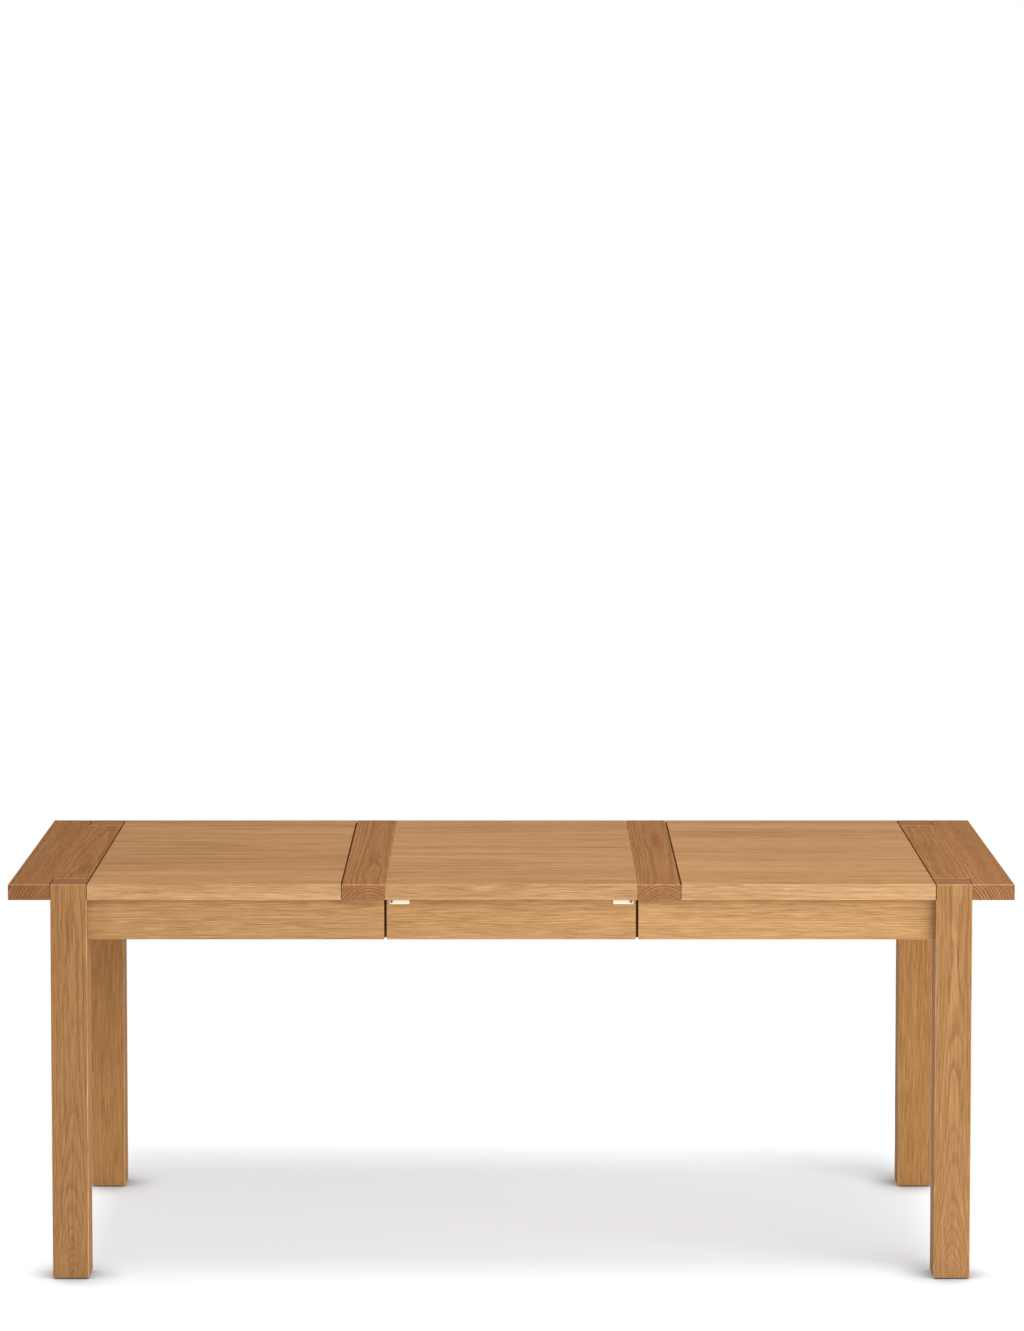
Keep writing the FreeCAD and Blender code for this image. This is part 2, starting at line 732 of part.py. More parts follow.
def dovetail(y_sign, grow):
    """Outline in Y and Z of a dovetail on one side of a slide set's centre line."""
    base = "%s * side_in" % y_sign
    tip = "%s * (dovetail_end - %s)" % (y_sign, grow)
    neck = "(dovetail_neck / 2 + %s)" % grow
    wide = "(dovetail_tip / 2 + %s)" % grow
    return [(base, "dovetail_z - " + neck), (tip, "dovetail_z - " + wide),
            (tip, "dovetail_z + " + wide), (base, "dovetail_z + " + neck)]


def shift(points, x):
    """Move an outline's first coordinates by a formula."""
    return [("%s + %s" % (x, first), second) for first, second in points]


def make_side_bar(side, tag, y_sign):
    """A half's bar in one slide set, with a dovetail tongue and a rebate for the rack."""
    name = "%s_bar%d" % (tag, y_sign + 1)
    middle = "%d * slide_y" % y_sign
    body = board(name, rectangle(("side_start", "side_end"),
                                 (middle + " + side_in", middle + " + side_out")),
                 "side_low", "side_bar_height")
    tongue = outline(body, name + "_tongue", shift(dovetail("1", "0"), middle), "side_start",
                     "YZ_Plane")
    pad(body, tongue, "dovetail_length")
    rebate = rectangle(("-teeth_out * pitch - rack_fit", "teeth_in * pitch + rack_fit"),
                       (middle + " + side_in", middle + " + rack_wall"))
    pocket(body, outline(body, name + "_rebate", rebate, "centre_low"), "centre_low - side_low")
    for i, (x, y) in enumerate(slide_screw_spots(y_sign)):
        bore(body, "%s_bore%d" % (name, i), "screw_diameter", "side_bar_height", x, y, "side_low")
        bore(body, "%s_counterbore%d" % (name, i), "counterbore_diameter", "counterbore_depth",
             x, y, "side_low")
    stand(body, side, end_name(side, y_sign) + "_slide_bar")


def make_slide_screws(side, tag):
    members = []
    for y_sign in (-1, 1):
        for i, (x, y) in enumerate(slide_screw_spots(y_sign)):
            members.append(screw("%s_slide_screw%d_%d" % (tag, y_sign + 1, i), x, y,
                                 "slide_screw_z", UPRIGHT,
                                 "top_under - slide_screw_z + screw_depth"))
    stand(group(tag + "_slide_screws", members), side, "slide_screws")


def make_rack(side, tag, y_sign):
    """A toothed rack; a gap between teeth stands at X = 0 when the leaf is in."""
    name = "%s_rack%d" % (tag, y_sign + 1)
    middle = "%d * slide_y" % y_sign
    body = board(name, rectangle(("-teeth_out * pitch", "teeth_in * pitch"),
                                 (middle + " + rack_root", middle + " + rack_wall")),
                 "gear_low", "gear_width")
    first = "(0.5 - teeth_out) * pitch"
    tip_half = "(tooth_half - flank_run)"
    root_half = "(tooth_half + flank_run * (1 + root_clearance / gear_module))"
    points = [("%s - %s" % (first, root_half), middle + " + rack_root"),
              ("%s - %s" % (first, tip_half), middle + " + rack_tip"),
              ("%s + %s" % (first, tip_half), middle + " + rack_tip"),
              ("%s + %s" % (first, root_half), middle + " + rack_root")]
    tooth = pad(body, outline(body, name + "_tooth", points, "gear_low"), "gear_width")
    pattern = body.newObject("PartDesign::LinearPattern", name + "_teeth")
    pattern.Originals = [tooth]
    pattern.Direction = (origin_feature(body, "X_Axis"), [""])
    bind(pattern, "Occurrences", "rack_teeth")
    bind(pattern, "Length", "(rack_teeth - 1) * pitch")
    body.Tip = pattern
    stand(body, side, end_name(side, y_sign) + "_rack")


def make_centre_bar(y_sign):
    """The middle bar of a slide set, grooved on both sides."""
    end = end_name(1, y_sign)
    name = end + "_centre"
    middle = "%d * slide_y" % y_sign
    body = board(name, rectangle(("-bar_half", "bar_half"),
                                 (middle + " - centre_half", middle + " + centre_half")),
                 "centre_low", "centre_bar_side")
    for sign in (-1, 1):
        groove = shift(dovetail(sign, "dovetail_clearance"), middle)
        sketch = outline(body, "%s_groove%d" % (name, sign + 1), groove, "bar_half", "YZ_Plane")
        pocket(body, sketch, "bar_length")
        bore(body, "%s_stop%d" % (name, sign + 1), "stop_diameter", "stop_length",
             "%d * stop_x" % sign, "%s + %d * stop_y" % (middle, sign), "centre_low")
        bore(body, "%s_tie_bore%d" % (name, sign + 1), "screw_diameter", "thread_depth",
             "%d * tie_screw_x" % sign, middle, "centre_low")
    bore(body, name + "_axle_bore", "axle_diameter", "thread_depth", "0", middle, "centre_low")
    keep(body, end + "_centre_bar")


def make_stops():
    members = []
    for y_sign in (-1, 1):
        for sign in (-1, 1):
            members.append(cylinder("stop%d_%d" % (y_sign + 1, sign + 1), "stop_diameter",
                                    "stop_length", "%d * stop_x" % sign,
                                    "%d * slide_y + %d * stop_y" % (y_sign, sign), "centre_low"))
    keep(group("stops", members), "slide_stops")


def make_tie():
    """The board that joins the two centre bars and carries the pinions."""
    reach = "(slide_y + tie_margin)"
    body = board("tie", rectangle(("-upstand_out", "upstand_out"), ("-" + reach, reach)),
                 "tie_low", "tie_thickness")
    for y_sign in (-1, 1):
        middle = "%d * slide_y" % y_sign
        for sign, span in ((-1, ("-upstand_out", "-upstand_in")), (1, ("upstand_in", "upstand_out"))):
            label = "tie%d_%d" % (y_sign + 1, sign + 1)
            points = rectangle(span, (middle + " - upstand_half", middle + " + upstand_half"))
            pad(body, outline(body, label + "_upstand", points, "tie_high"), "tie_rise")
            x = "%d * tie_screw_x" % sign
            bore(body, label + "_bore", "screw_diameter", "tie_thickness + tie_rise", x, middle, "tie_low")
            bore(body, label + "_sink", "screw_head", "screw_head_height", x, middle, "tie_low")
        bore(body, "tie%d_axle" % (y_sign + 1), "axle_diameter", "tie_thickness", "0", middle, "tie_low")
        bore(body, "tie%d_axle_sink" % (y_sign + 1), "axle_head", "axle_head_height", "0", middle,
             "tie_low")
    keep(body, "centre_tie")


def make_tie_screws():
    members = []
    for y_sign in (-1, 1):
        for sign in (-1, 1):
            members.append(screw("tie_screw%d_%d" % (y_sign + 1, sign + 1), "%d * tie_screw_x" % sign,
                                 "%d * slide_y" % y_sign, "tie_low + screw_head_height", UPRIGHT,
                                 "tie_screw_length"))
    keep(group("tie_screws", members), "tie_screws")


def make_axles():
    members = []
    for y_sign in (-1, 1):
        name = "axle%d" % (y_sign + 1)
        item = fuse(name, [cylinder(name + "_shaft", "axle_diameter", "axle_length"),
                           cylinder(name + "_head", "axle_head", "axle_head_height")])
        move(item, "0", "%d * slide_y" % y_sign, "tie_low")
        members.append(item)
    keep(group("axles", members), "pinion_axles")


def make_pinion(y_sign):
    """A pinion with one tooth towards +Y, turning about its own Z axis."""
    end = end_name(1, y_sign)
    name = end + "_pinion"
    body = new_body(name)
    pad(body, circle(body, name + "_disc", "2 * root_radius", "gear_low"), "gear_width")
    pad(body, circle(body, name + "_hub", "hub_diameter", "tie_high + hub_play"),
        "centre_low - tie_high - 2 * hub_play")
    depth = "(root_radius / 2)"
    root_half = "(tooth_half + flank_run)"
    tip_half = "(tooth_half - flank_run)"
    points = [("-" + root_half, depth), (root_half, depth), (root_half, "root_radius"),
              (tip_half, "tip_radius"), ("-" + tip_half, "tip_radius"), ("-" + root_half, "root_radius")]
    tooth = pad(body, outline(body, name + "_tooth", points, "gear_low"), "gear_width")
    pattern = body.newObject("PartDesign::PolarPattern", name + "_teeth")
    pattern.Originals = [tooth]
    pattern.Axis = (origin_feature(body, "Z_Axis"), [""])
    pattern.Angle = 360
    bind(pattern, "Occurrences", "pinion_teeth")
    body.Tip = pattern
    bore(body, name + "_bore", "axle_diameter + 2 * axle_clearance", "centre_low - tie_high",
         "0", "0", "tie_high")
    move(body, "0", "%d * slide_y" % y_sign)
    keep(body, end + "_pinion")


# Extension leaf

def make_leaf_panel():
    body = board("leaf", rectangle(("joint_gap / 2 - joint", "joint - joint_gap / 2"),
                                   ("-front", "front")), "top_under", "top_thickness")
    ease_ring(body, "arris", "top")
    keep(body, "leaf_panel")


def make_leaf_apron(y_sign):
    end = end_name(1, y_sign)
    name = "leaf_%s_apron" % end
    edges = ("apron_in", "apron_out") if y_sign > 0 else ("-apron_out", "-apron_in")
    body = board(name + "_body", rectangle(("-leaf_apron_end", "leaf_apron_end"), edges),
                 "apron_low", "apron_height")
    inwards = AGAINST_Y if y_sign > 0 else ALONG_Y
    for sign in (-1, 1):
        bore(body, "%s_bore%d" % (name, sign + 1), "screw_diameter", "screw_depth",
             "%d * latch_x" % sign, "%d * apron_out" % y_sign, "latch_z", inwards)
    keep(body, name)


def make_leaf_blocks():
    members = []
    for y_sign in (-1, 1):
        y = "apron_in - block_side" if y_sign > 0 else "-apron_in"
        for sign in (-1, 1):
            members.append(block("leaf_block%d_%d" % (y_sign + 1, sign + 1), "block_length",
                                 "block_side", "block_side",
                                 "%d * joint / 2 - block_length / 2" % sign, y,
                                 "top_under - block_side"))
            x = "joint - joint_gap / 2 - joint_block_thickness" if sign > 0 else "joint_gap / 2 - joint"
            members.append(make_joint_block("leaf_joint_block%d_%d" % (y_sign + 1, sign + 1), y_sign, x))
    keep(group("leaf_block_group", members), "leaf_blocks")


def make_latch(y_sign, sign):
    """A turn button, drawn about its pivot, reaching along +X with its outer face to -Y."""
    end = end_name(1, y_sign)
    hand = "right" if sign > 0 else "left"
    name = "latch_%s_%s" % (end, hand)
    body = new_body(name)
    far_end = "(latch_length - latch_radius)"
    sketch = outline(body, name + "_bar", rectangle(("0", far_end), ("-latch_radius", "latch_radius")),
                     "0", "XZ_Plane")
    pad(body, sketch, "latch_thickness")
    ease(body, "Fillet", "Radius", "latch_radius / 2",
         lambda a, b: abs(a.y - b.y) > 1 and min(a.x, b.x) > 1)
    eye = body.newObject("PartDesign::AdditiveCylinder", name + "_eye")
    bind(eye, "Radius", "latch_radius")
    bind(eye, "Height", "latch_thickness")
    eye.Placement = FreeCAD.Placement(FreeCAD.Vector(), AGAINST_Y)
    bore(body, name + "_bore", "screw_diameter + 2 * axle_clearance", "latch_thickness",
         "0", "0", "0", AGAINST_Y)
    turns = {(-1, -1): UPRIGHT, (-1, 1): FreeCAD.Rotation(Y_AXIS, 180),
             (1, -1): FreeCAD.Rotation(X_AXIS, 180), (1, 1): FreeCAD.Rotation(Z_AXIS, 180)}
    move(body, "%d * latch_x" % sign, "%d * latch_y" % y_sign, "latch_z", turns[y_sign, sign])
    keep(body, "%s_%s_latch" % (end, hand))


def make_latch_screws():
    members = []
    for y_sign in (-1, 1):
        turn = AGAINST_Y if y_sign > 0 else ALONG_Y
        for sign in (-1, 1):
            members.append(screw("latch_screw%d_%d" % (y_sign + 1, sign + 1), "%d * latch_x" % sign,
                                 "%d * latch_screw_y" % y_sign, "latch_z", turn, "latch_screw_length",
                                 head="latch_screw_head", head_height="latch_screw_head_height"))
    keep(group("latch_screw_group", members), "latch_screws")


# Whole table

def make_half(side, tag):
    make_cross_board(side, tag)
    make_top_panel(side, tag)
    make_end_board(side, tag)
    for y_sign in (-1, 1):
        make_leg(side, tag, y_sign)
        make_side_apron(side, tag, y_sign)
        make_side_bar(side, tag, y_sign)
        make_rack(side, tag, y_sign)
    make_end_apron(side, tag)
    make_inner_rail(side, tag)
    make_glides(side, tag)
    make_dowels(side, tag)
    make_blocks(side, tag)
    make_corner_fittings(side, tag)
    make_slide_screws(side, tag)


def make_centre():
    for y_sign in (-1, 1):
        make_centre_bar(y_sign)
        make_pinion(y_sign)
    make_tie()
    make_stops()
    make_tie_screws()
    make_axles()


def make_leaf():
    make_leaf_panel()
    make_leaf_blocks()
    for y_sign in (-1, 1):
        make_leaf_apron(y_sign)
        for sign in (-1, 1):
            make_latch(y_sign, sign)
    make_latch_screws()


def check():
    """Stop if any object failed or any sub-part has no sound solid."""
    for item in doc.Objects:
        if "Invalid" in item.State or "Error" in item.State:
            raise RuntimeError("failed object: " + item.Label)
    for item in pieces:
        if item.Shape.isNull() or not item.Shape.isValid() or not item.Shape.Solids:
            raise RuntimeError("no sound shape: " + item.Label)


def write():
    os.makedirs("parts", exist_ok=True)
    for item in pieces:
        item.Shape.exportStep(os.path.join("parts", item.Label + ".step"))


make_sheet()
for half, half_side in SIDES.items():
    make_half(half_side, half)
make_centre()
make_leaf()
doc.recompute()
check()
write()
print("%d sub-parts" % len(pieces))
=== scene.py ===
import math

import bpy
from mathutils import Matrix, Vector


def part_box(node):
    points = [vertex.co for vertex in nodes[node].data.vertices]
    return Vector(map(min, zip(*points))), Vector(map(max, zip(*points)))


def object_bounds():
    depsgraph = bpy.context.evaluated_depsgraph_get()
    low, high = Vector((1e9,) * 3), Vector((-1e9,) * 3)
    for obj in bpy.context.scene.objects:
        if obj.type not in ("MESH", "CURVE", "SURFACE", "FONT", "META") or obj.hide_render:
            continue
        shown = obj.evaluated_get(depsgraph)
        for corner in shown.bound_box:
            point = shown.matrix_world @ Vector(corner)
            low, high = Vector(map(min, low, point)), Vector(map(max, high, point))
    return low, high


# Looks for the extendable dining table: oak, beech, steel and nylon materials on the CAD parts,
# a pale studio floor, soft lights and the camera. Metres, in the CAD model's frame.

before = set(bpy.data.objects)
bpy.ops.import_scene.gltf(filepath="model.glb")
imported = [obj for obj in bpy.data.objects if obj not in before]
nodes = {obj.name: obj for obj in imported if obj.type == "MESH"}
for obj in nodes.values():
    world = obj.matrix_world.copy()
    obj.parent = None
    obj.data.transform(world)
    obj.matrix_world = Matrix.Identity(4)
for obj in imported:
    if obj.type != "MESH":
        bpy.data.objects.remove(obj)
cad_low, cad_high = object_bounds()

# The axis along the grain, then across the board and through it
AXES = {"X": (0, 1, 2), "Y": (1, 0, 2), "Z": (2, 0, 1)}
# How red, green and blue share a change of brightness
PALING = (0.82, 1.0, 1.3)
WHITE = (1.0, 1.0, 1.0, 1.0)


def linear(red, green, blue):
    """A display colour of 0 to 255 as the linear colour that a shader takes."""
    def one(value):
        value /= 255
        return value / 12.92 if value <= 0.04045 else ((value + 0.055) / 1.055) ** 2.4
    return (one(red), one(green), one(blue), 1.0)


class Graph:
    """A material's node tree, built by short calls that give back sockets."""

    def __init__(self, name):
        self.material = bpy.data.materials.new(name)
        self.material.use_nodes = True
        self.tree = self.material.node_tree
        self.tree.nodes.clear()

    def feed(self, socket, value):
        """Links a socket to another one, or sets its value."""
        if isinstance(value, bpy.types.NodeSocket):
            self.tree.links.new(value, socket)
        else:
            socket.default_value = value

    def node(self, kind, inputs, **settings):
        node = self.tree.nodes.new("ShaderNode" + kind)
        for key, value in settings.items():
            setattr(node, key, value)
        for key, value in inputs.items():
            self.feed(node.inputs[key], value)
        return node

    def math(self, operation, a, b=0.0):
        return self.node("Math", {0: a, 1: b}, operation=operation).outputs[0]

    def add(self, first, *others):
        total = first
        for other in others:
            total = self.math("ADD", total, other)
        return total

    def subtract(self, a, b):
        return self.math("SUBTRACT", a, b)

    def scale(self, a, b):
        return self.math("MULTIPLY", a, b)

    def absolute(self, value):
        return self.math("ABSOLUTE", value)

    def vector(self, x, y, z):
        return self.node("CombineXYZ", {0: x, 1: y, 2: z}).outputs[0]

    def split(self, vector):
        """The three parts of a vector."""
        return self.node("SeparateXYZ", {0: vector}).outputs

    def place(self):
        """The point's place in the piece's own frame, which moves with the piece."""
        return self.node("TexCoord", {}).outputs["Object"]

    def noise(self, vector, detail=2.0, roughness=0.5):
        """Noise about zero, from about -0.5 to 0.5, at one unit of the vector to a blob."""
        inputs = {"Vector": vector, "Scale": 1.0, "Detail": detail, "Roughness": roughness}
        return self.subtract(self.node("TexNoise", inputs).outputs["Fac"], 0.5)

    def random(self, number):
        """A random value and a random colour that belong to a whole number."""
        return self.node("TexWhiteNoise", {"W": number}, noise_dimensions="1D").outputs

    def smooth(self, value, low, high):
        """0 below low, 1 above high, and a soft step between them."""
        inputs = {"Value": value, "From Min": low, "From Max": high}
        node = self.node("MapRange", inputs, interpolation_type="SMOOTHSTEP")
        return node.outputs[0]

    def mix(self, factor, a, b, blend="MIX"):
        node = self.node("Mix", {}, data_type="RGBA", blend_type=blend, clamp_factor=True)
        # the node has a set of sockets for each data type, and these are the colour's
        self.feed(node.inputs[0], factor)
        self.feed(node.inputs[6], a)
        self.feed(node.inputs[7], b)
        return node.outputs[2]

    def brighten(self, colour, amount):
        """The colour times one plus an amount, paler where lighter and warmer where darker."""
        if isinstance(colour, tuple):
            colour = colour[:3]
        factor = self.vector(*(self.add(self.scale(amount, share), 1.0) for share in PALING))
        node = self.node("VectorMath", {0: colour, 1: factor}, operation="MULTIPLY")
        return node.outputs[0]

    def surface(self, shader):
        """Makes the shader the material's surface."""
        self.node("OutputMaterial", {"Surface": shader.outputs[0]})
        return self.material

    def principled(self, colour, roughness, height, depth, **settings):
        """The Principled shader, with a bump of that depth from the height socket."""
        bump = self.node("Bump", {"Height": height, "Distance": depth, "Strength": 1.0})
        inputs = {"Base Color": colour, "Roughness": roughness, "Normal": bump.outputs[0]}
        return self.surface(self.node("BsdfPrincipled", {**inputs, **settings}))


# Wood

# Metres along the grain from one piece's place in its tree to the next one's
SEED_STEP = 7.3
# A staved board: where its first joint lies, in stave widths, how its random draws differ from
# another board's, and how far apart in their trees two staves lie, across, through and along
STAVE_START = 0.37
STAVE_SEED_STEP = 3.7
STAVE_SPREAD = (0.3, 0.09, 5.0)
STAVE_CONTRAST = 0.12

# Blobs of noise: length along the grain, width across it, detail and roughness
SLOW = (0.77, 0.25, 1.0, 0.5)
QUICK = (0.14, 0.033, 2.0, 0.5)
STREAK = (0.7, 0.022, 3.0, 0.6)
BAND = (0.3, 0.008, 2.0, 0.6)
THREAD = (0.07, 0.0024, 3.0, 0.6)
FIBRE = (0.04, 0.0012, 2.0, 0.6)
PORE = (0.014, 0.0007, 1.0, 0.5)
# The heights of that noise between which a pore opens
PORE_RIM = (0.08, 0.2)
# How much of a pore shows in late wood, and how much more in early wood
PORE_SHARES = (0.2, 0.8)

# How far the pith wanders sideways along a tree
WANDER = 0.022
# How fast the arches of a flat-sawn face give way to straight grain
ARCH_REACH = 0.17
# Rings differ in width: by how much of a ring, and how many changes there are to a metre
RING_DRIFT = 1.8
DRIFTS_PER_METRE = 90.0
# The parts of a ring over which early wood fades to late wood, and comes back at its end
EARLY_FADES = (0.02, 0.5)
EARLY_RETURNS = (0.88, 1.0)

# How much brighter or darker a ring, a slow wave, and the lines where a streak is strong get
RING_TONE = 0.06
SLOW_TONE = 0.12
STREAK_ON_RINGS = 0.8
# How much of the bands' contrast the long edges lose
EDGE_CALM = 0.7

# A normal's part along an axis where a face counts as square to it, and the product of two
# parts where it counts as an arris between them
SQUARE = (0.8, 0.95)
SLANTED = (0.15, 0.45)
# How much paler the painted highlight on an arris is, and how much darker the painted shade of a
# groove makes one
ARRIS_HIGHLIGHT = 0.65
GROOVE_SHADE = -0.85
TOP_THICKNESS = 0.03
# The width over which the painted groove shade starts
GROOVE_SHADE_EDGE = 0.001

# Roughness: a plain face, and what early wood, fibres and end grain add
ROUGHNESS = 0.62
EARLY_ROUGH = 0.08
FIBRE_ROUGH = 0.1
END_ROUGH = 0.15
# Relief: its depth, and the height of early wood, pores and fibres in it
RELIEF = 0.0002
EARLY_HEIGHT = -0.3
PORE_HEIGHT = -1.0
FIBRE_HEIGHT = 0.25
# Oiled wood shines faintly
SHINE = 0.04


def place_in_tree(graph, centred, seed, stave):
    """Coordinates in the tree, along, across and through, and a tone for the board's strip.
    A staved board is cut into strips across its width, each from a different place."""
    along, across, through = centred
    along = graph.add(along, SEED_STEP * seed)
    if not stave:
        return (along, across, through), 0.0
    shifted = graph.add(across, STAVE_START * stave)
    index = graph.math("FLOOR", graph.scale(shifted, 1 / stave))
    pick = graph.random(graph.add(index, STAVE_SEED_STEP * seed))
    draws = graph.split(pick["Color"])
    from_strip = graph.subtract(shifted, graph.scale(graph.add(index, 0.5), stave))
    across = graph.add(from_strip, graph.scale(graph.add(draws[0], -0.5), STAVE_SPREAD[0]))
    through = graph.add(through, graph.scale(draws[1], STAVE_SPREAD[1]))
    along = graph.add(along, graph.scale(draws[2], STAVE_SPREAD[2]))
    return (along, across, through), graph.add(pick["Value"], -0.5)


def blobs(graph, tree, blob):
    """Noise that is drawn out along the grain."""
    length, width, detail, roughness = blob
    along, across, through = tree
    stretched = graph.vector(graph.scale(along, 1 / length), graph.scale(across, 1 / width),
                             graph.scale(through, 1 / width))
    return graph.noise(stretched, detail, roughness)


def growth_rings(graph, tree, from_low_end, slow, seed, pith, arch, ring, ripple):
    """How far a point lies in early wood, 0 to 1, and the tone of its ring.
    Each ring is a dark porous line of early wood that fades to pale late wood."""
    side = graph.add(tree[1], -pith[0])
    deep = graph.add(tree[2], -pith[1])
    if arch:
        fade = graph.math("EXPONENT", graph.scale(from_low_end, -1 / ARCH_REACH))
        deep = graph.add(deep, graph.scale(fade, arch))
    squares = graph.add(graph.math("POWER", side, 2.0), graph.math("POWER", deep, 2.0))
    radius = graph.add(graph.math("SQRT", squares), graph.scale(slow, WANDER),
                       graph.scale(blobs(graph, tree, QUICK), ripple))
    changes = graph.vector(graph.scale(radius, DRIFTS_PER_METRE), seed, 0.0)
    drift = graph.noise(changes, detail=1.0)
    phase = graph.add(graph.scale(radius, 1 / ring), graph.scale(drift, RING_DRIFT))
    part = graph.math("FRACT", phase)
    early = graph.add(graph.subtract(1.0, graph.smooth(part, *EARLY_FADES)),
                      graph.smooth(part, *EARLY_RETURNS))
    one_ring = graph.random(graph.math("FLOOR", phase))
    return early, graph.add(one_ring["Value"], -0.5)


def face_masks(graph, grain):
    """How far a point lies on an end, a long edge, an arris of an end, a long arris, and an
    upper arris to either side, each from 0 to 1."""
    normal = graph.split(graph.node("NewGeometry", {}).outputs["True Normal"])
    facing = [graph.absolute(normal[axis]) for axis in range(3)]
    first, second, third = (facing[axis] for axis in AXES[grain])
    up = facing[2]
    end = graph.smooth(first, *SQUARE)
    edge = graph.smooth(second, *SQUARE)
    end_arris = graph.smooth(graph.scale(first, graph.add(second, third)), *SLANTED)
    long_arris = graph.smooth(graph.scale(second, third), *SLANTED)
    upper_arris = graph.smooth(graph.scale(second, up), *SLANTED)
    return end, edge, end_arris, long_arris, upper_arris


def wood(species, node, grain, seed, light, dark, shade=0.0, pith=(0.02, -0.07), arch=0.0,
         ring=0.0028, ripple=0.0028, stave=0.0, contrast=0.18, streaks=0.55, bands=0.65,
         threads=1.0, pore_depth=0.2, end_contrast=0.9, end_tint=(0.88, 0.9, 1.0),
         edge_tint_and_light=(1.0, 1.0, 1.0), end_arris=0.5, side_arris=ARRIS_HIGHLIGHT, groove=0):
    """Solid wood: growth rings about a pith line, pores and fibres drawn out along the grain.
    The pith lies at a place across and through the board, from its middle. An arch brings it
    nearer towards the low end, which draws arches on a flat-sawn face. The groove is the side of
    the piece whose upper arris borders a gap and is darkened with painted shade, 1 or -1 across
    it, or 0 for none."""
    graph = Graph(species + "_" + node)
    low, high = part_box(node)
    middle = (low + high) / 2
    half = (high - low)[AXES[grain][0]] / 2
    place = graph.split(graph.place())
    centred = [graph.add(place[axis], -middle[axis]) for axis in AXES[grain]]
    tree, stave_tone = place_in_tree(graph, centred, seed, stave)

    slow = blobs(graph, tree, SLOW)
    early, ring_tone = growth_rings(graph, tree, graph.add(centred[0], half), slow, seed, pith,
                                    arch, ring, ripple)
    streak = blobs(graph, tree, STREAK)
    band = blobs(graph, tree, BAND)
    thread = blobs(graph, tree, THREAD)
    fibre = blobs(graph, tree, FIBRE)
    pore_share = graph.add(graph.scale(early, PORE_SHARES[1]), PORE_SHARES[0])
    pore = graph.scale(graph.smooth(blobs(graph, tree, PORE), *PORE_RIM), pore_share)
    end, edge, on_end_arris, on_long_arris, on_upper_arris = face_masks(graph, grain)

    # ring lines, strongest on end grain
    ring_strength = graph.add(graph.scale(end, end_contrast), contrast,
                              graph.scale(streak, STREAK_ON_RINGS))
    colour = graph.mix(graph.scale(early, ring_strength), light, dark)

    # tones: streaks, threads, fibres, rings, bands, the piece's own shade (partly painted light),
    # pores and staves
    band_strength = graph.add(graph.scale(edge, -EDGE_CALM * bands), bands)
    tones = graph.add(graph.scale(streak, streaks), graph.scale(thread, threads), fibre,
                      graph.scale(ring_tone, RING_TONE), graph.scale(band, band_strength),
                      graph.scale(slow, SLOW_TONE), shade, graph.scale(pore, -pore_depth))
    if stave:
        tones = graph.add(tones, graph.scale(stave_tone, STAVE_CONTRAST))
    colour = graph.brighten(colour, tones)
    colour = graph.mix(end, colour, (*end_tint, 1.0), "MULTIPLY")
    # paler long edges: painted light on the panels' front edges; on the aprons, the tint of their
    # front faces
    colour = graph.mix(edge, colour, (*edge_tint_and_light, 1.0), "MULTIPLY")

    # painted highlights on the arrises, and painted shade on those beside a groove
    arris_light_and_groove_shade = graph.add(graph.scale(on_end_arris, end_arris), graph.scale(on_long_arris, side_arris))
    if groove:
        beside_gap = on_upper_arris
        if grain == "Z":
            start = half - TOP_THICKNESS
            beside_top = graph.smooth(centred[0], start, start + GROOVE_SHADE_EDGE)
            beside_gap = graph.math("MAXIMUM", on_upper_arris,
                                    graph.scale(on_long_arris, beside_top))
        # painted shade on the upper arris on the groove's side of the piece
        on_side = graph.smooth(graph.scale(centred[1], groove), 0.0, GROOVE_SHADE_EDGE)
        groove_shade = graph.scale(on_side, beside_gap)
        outside_groove_shade = graph.subtract(1.0, groove_shade)
        arris_light_and_groove_shade = graph.add(graph.scale(arris_light_and_groove_shade, outside_groove_shade), graph.scale(groove_shade, GROOVE_SHADE))
    colour = graph.brighten(colour, arris_light_and_groove_shade)

    rough = graph.add(graph.scale(early, EARLY_ROUGH), graph.scale(fibre, FIBRE_ROUGH),
                      ROUGHNESS, graph.scale(end, END_ROUGH))
    height = graph.add(graph.scale(early, EARLY_HEIGHT), graph.scale(pore, PORE_HEIGHT),
                       graph.scale(fibre, FIBRE_HEIGHT))
    return graph.principled(colour, rough, height, RELIEF, **{"Specular IOR Level": SHINE})


# Metal and nylon

# How much coarser the clouds of a plain finish are than its specks
CLOUD_SIZE = 12
CLOUD_ROUGH = 0.25


def speckled(name, colour, metallic, roughness, specks, variation, depth):
    """A plain finish with fine cloudy variation in colour, roughness and relief. It has that
    many specks to a metre."""
    graph = Graph(name)

    def stretched(scale):
        inputs = {0: graph.place(), "Scale": scale}
        return graph.node("VectorMath", inputs, operation="SCALE").outputs[0]

    fine = graph.noise(stretched(specks), detail=4.0, roughness=0.6)
    cloud = graph.noise(stretched(specks / CLOUD_SIZE))
    shade = graph.brighten(colour, graph.scale(graph.add(fine, cloud), variation))
    rough = graph.add(graph.scale(cloud, CLOUD_ROUGH), roughness)
    return graph.principled(shade, rough, fine, depth, Metallic=metallic)


# Looks of the wooden pieces

# The panels' ends face the grooves: painted shade darkens their arrises and end grain
SHADED_GROOVE_ENDS = dict(end_arris=GROOVE_SHADE, end_tint=(0.4, 0.4, 0.4))
HONEY = dict(light=linear(181, 135, 89), dark=linear(140, 93, 52))
REDDISH = dict(light=linear(157, 107, 62), dark=linear(116, 72, 39), contrast=0.34, streaks=0.6,
               bands=0.35, threads=0.7)
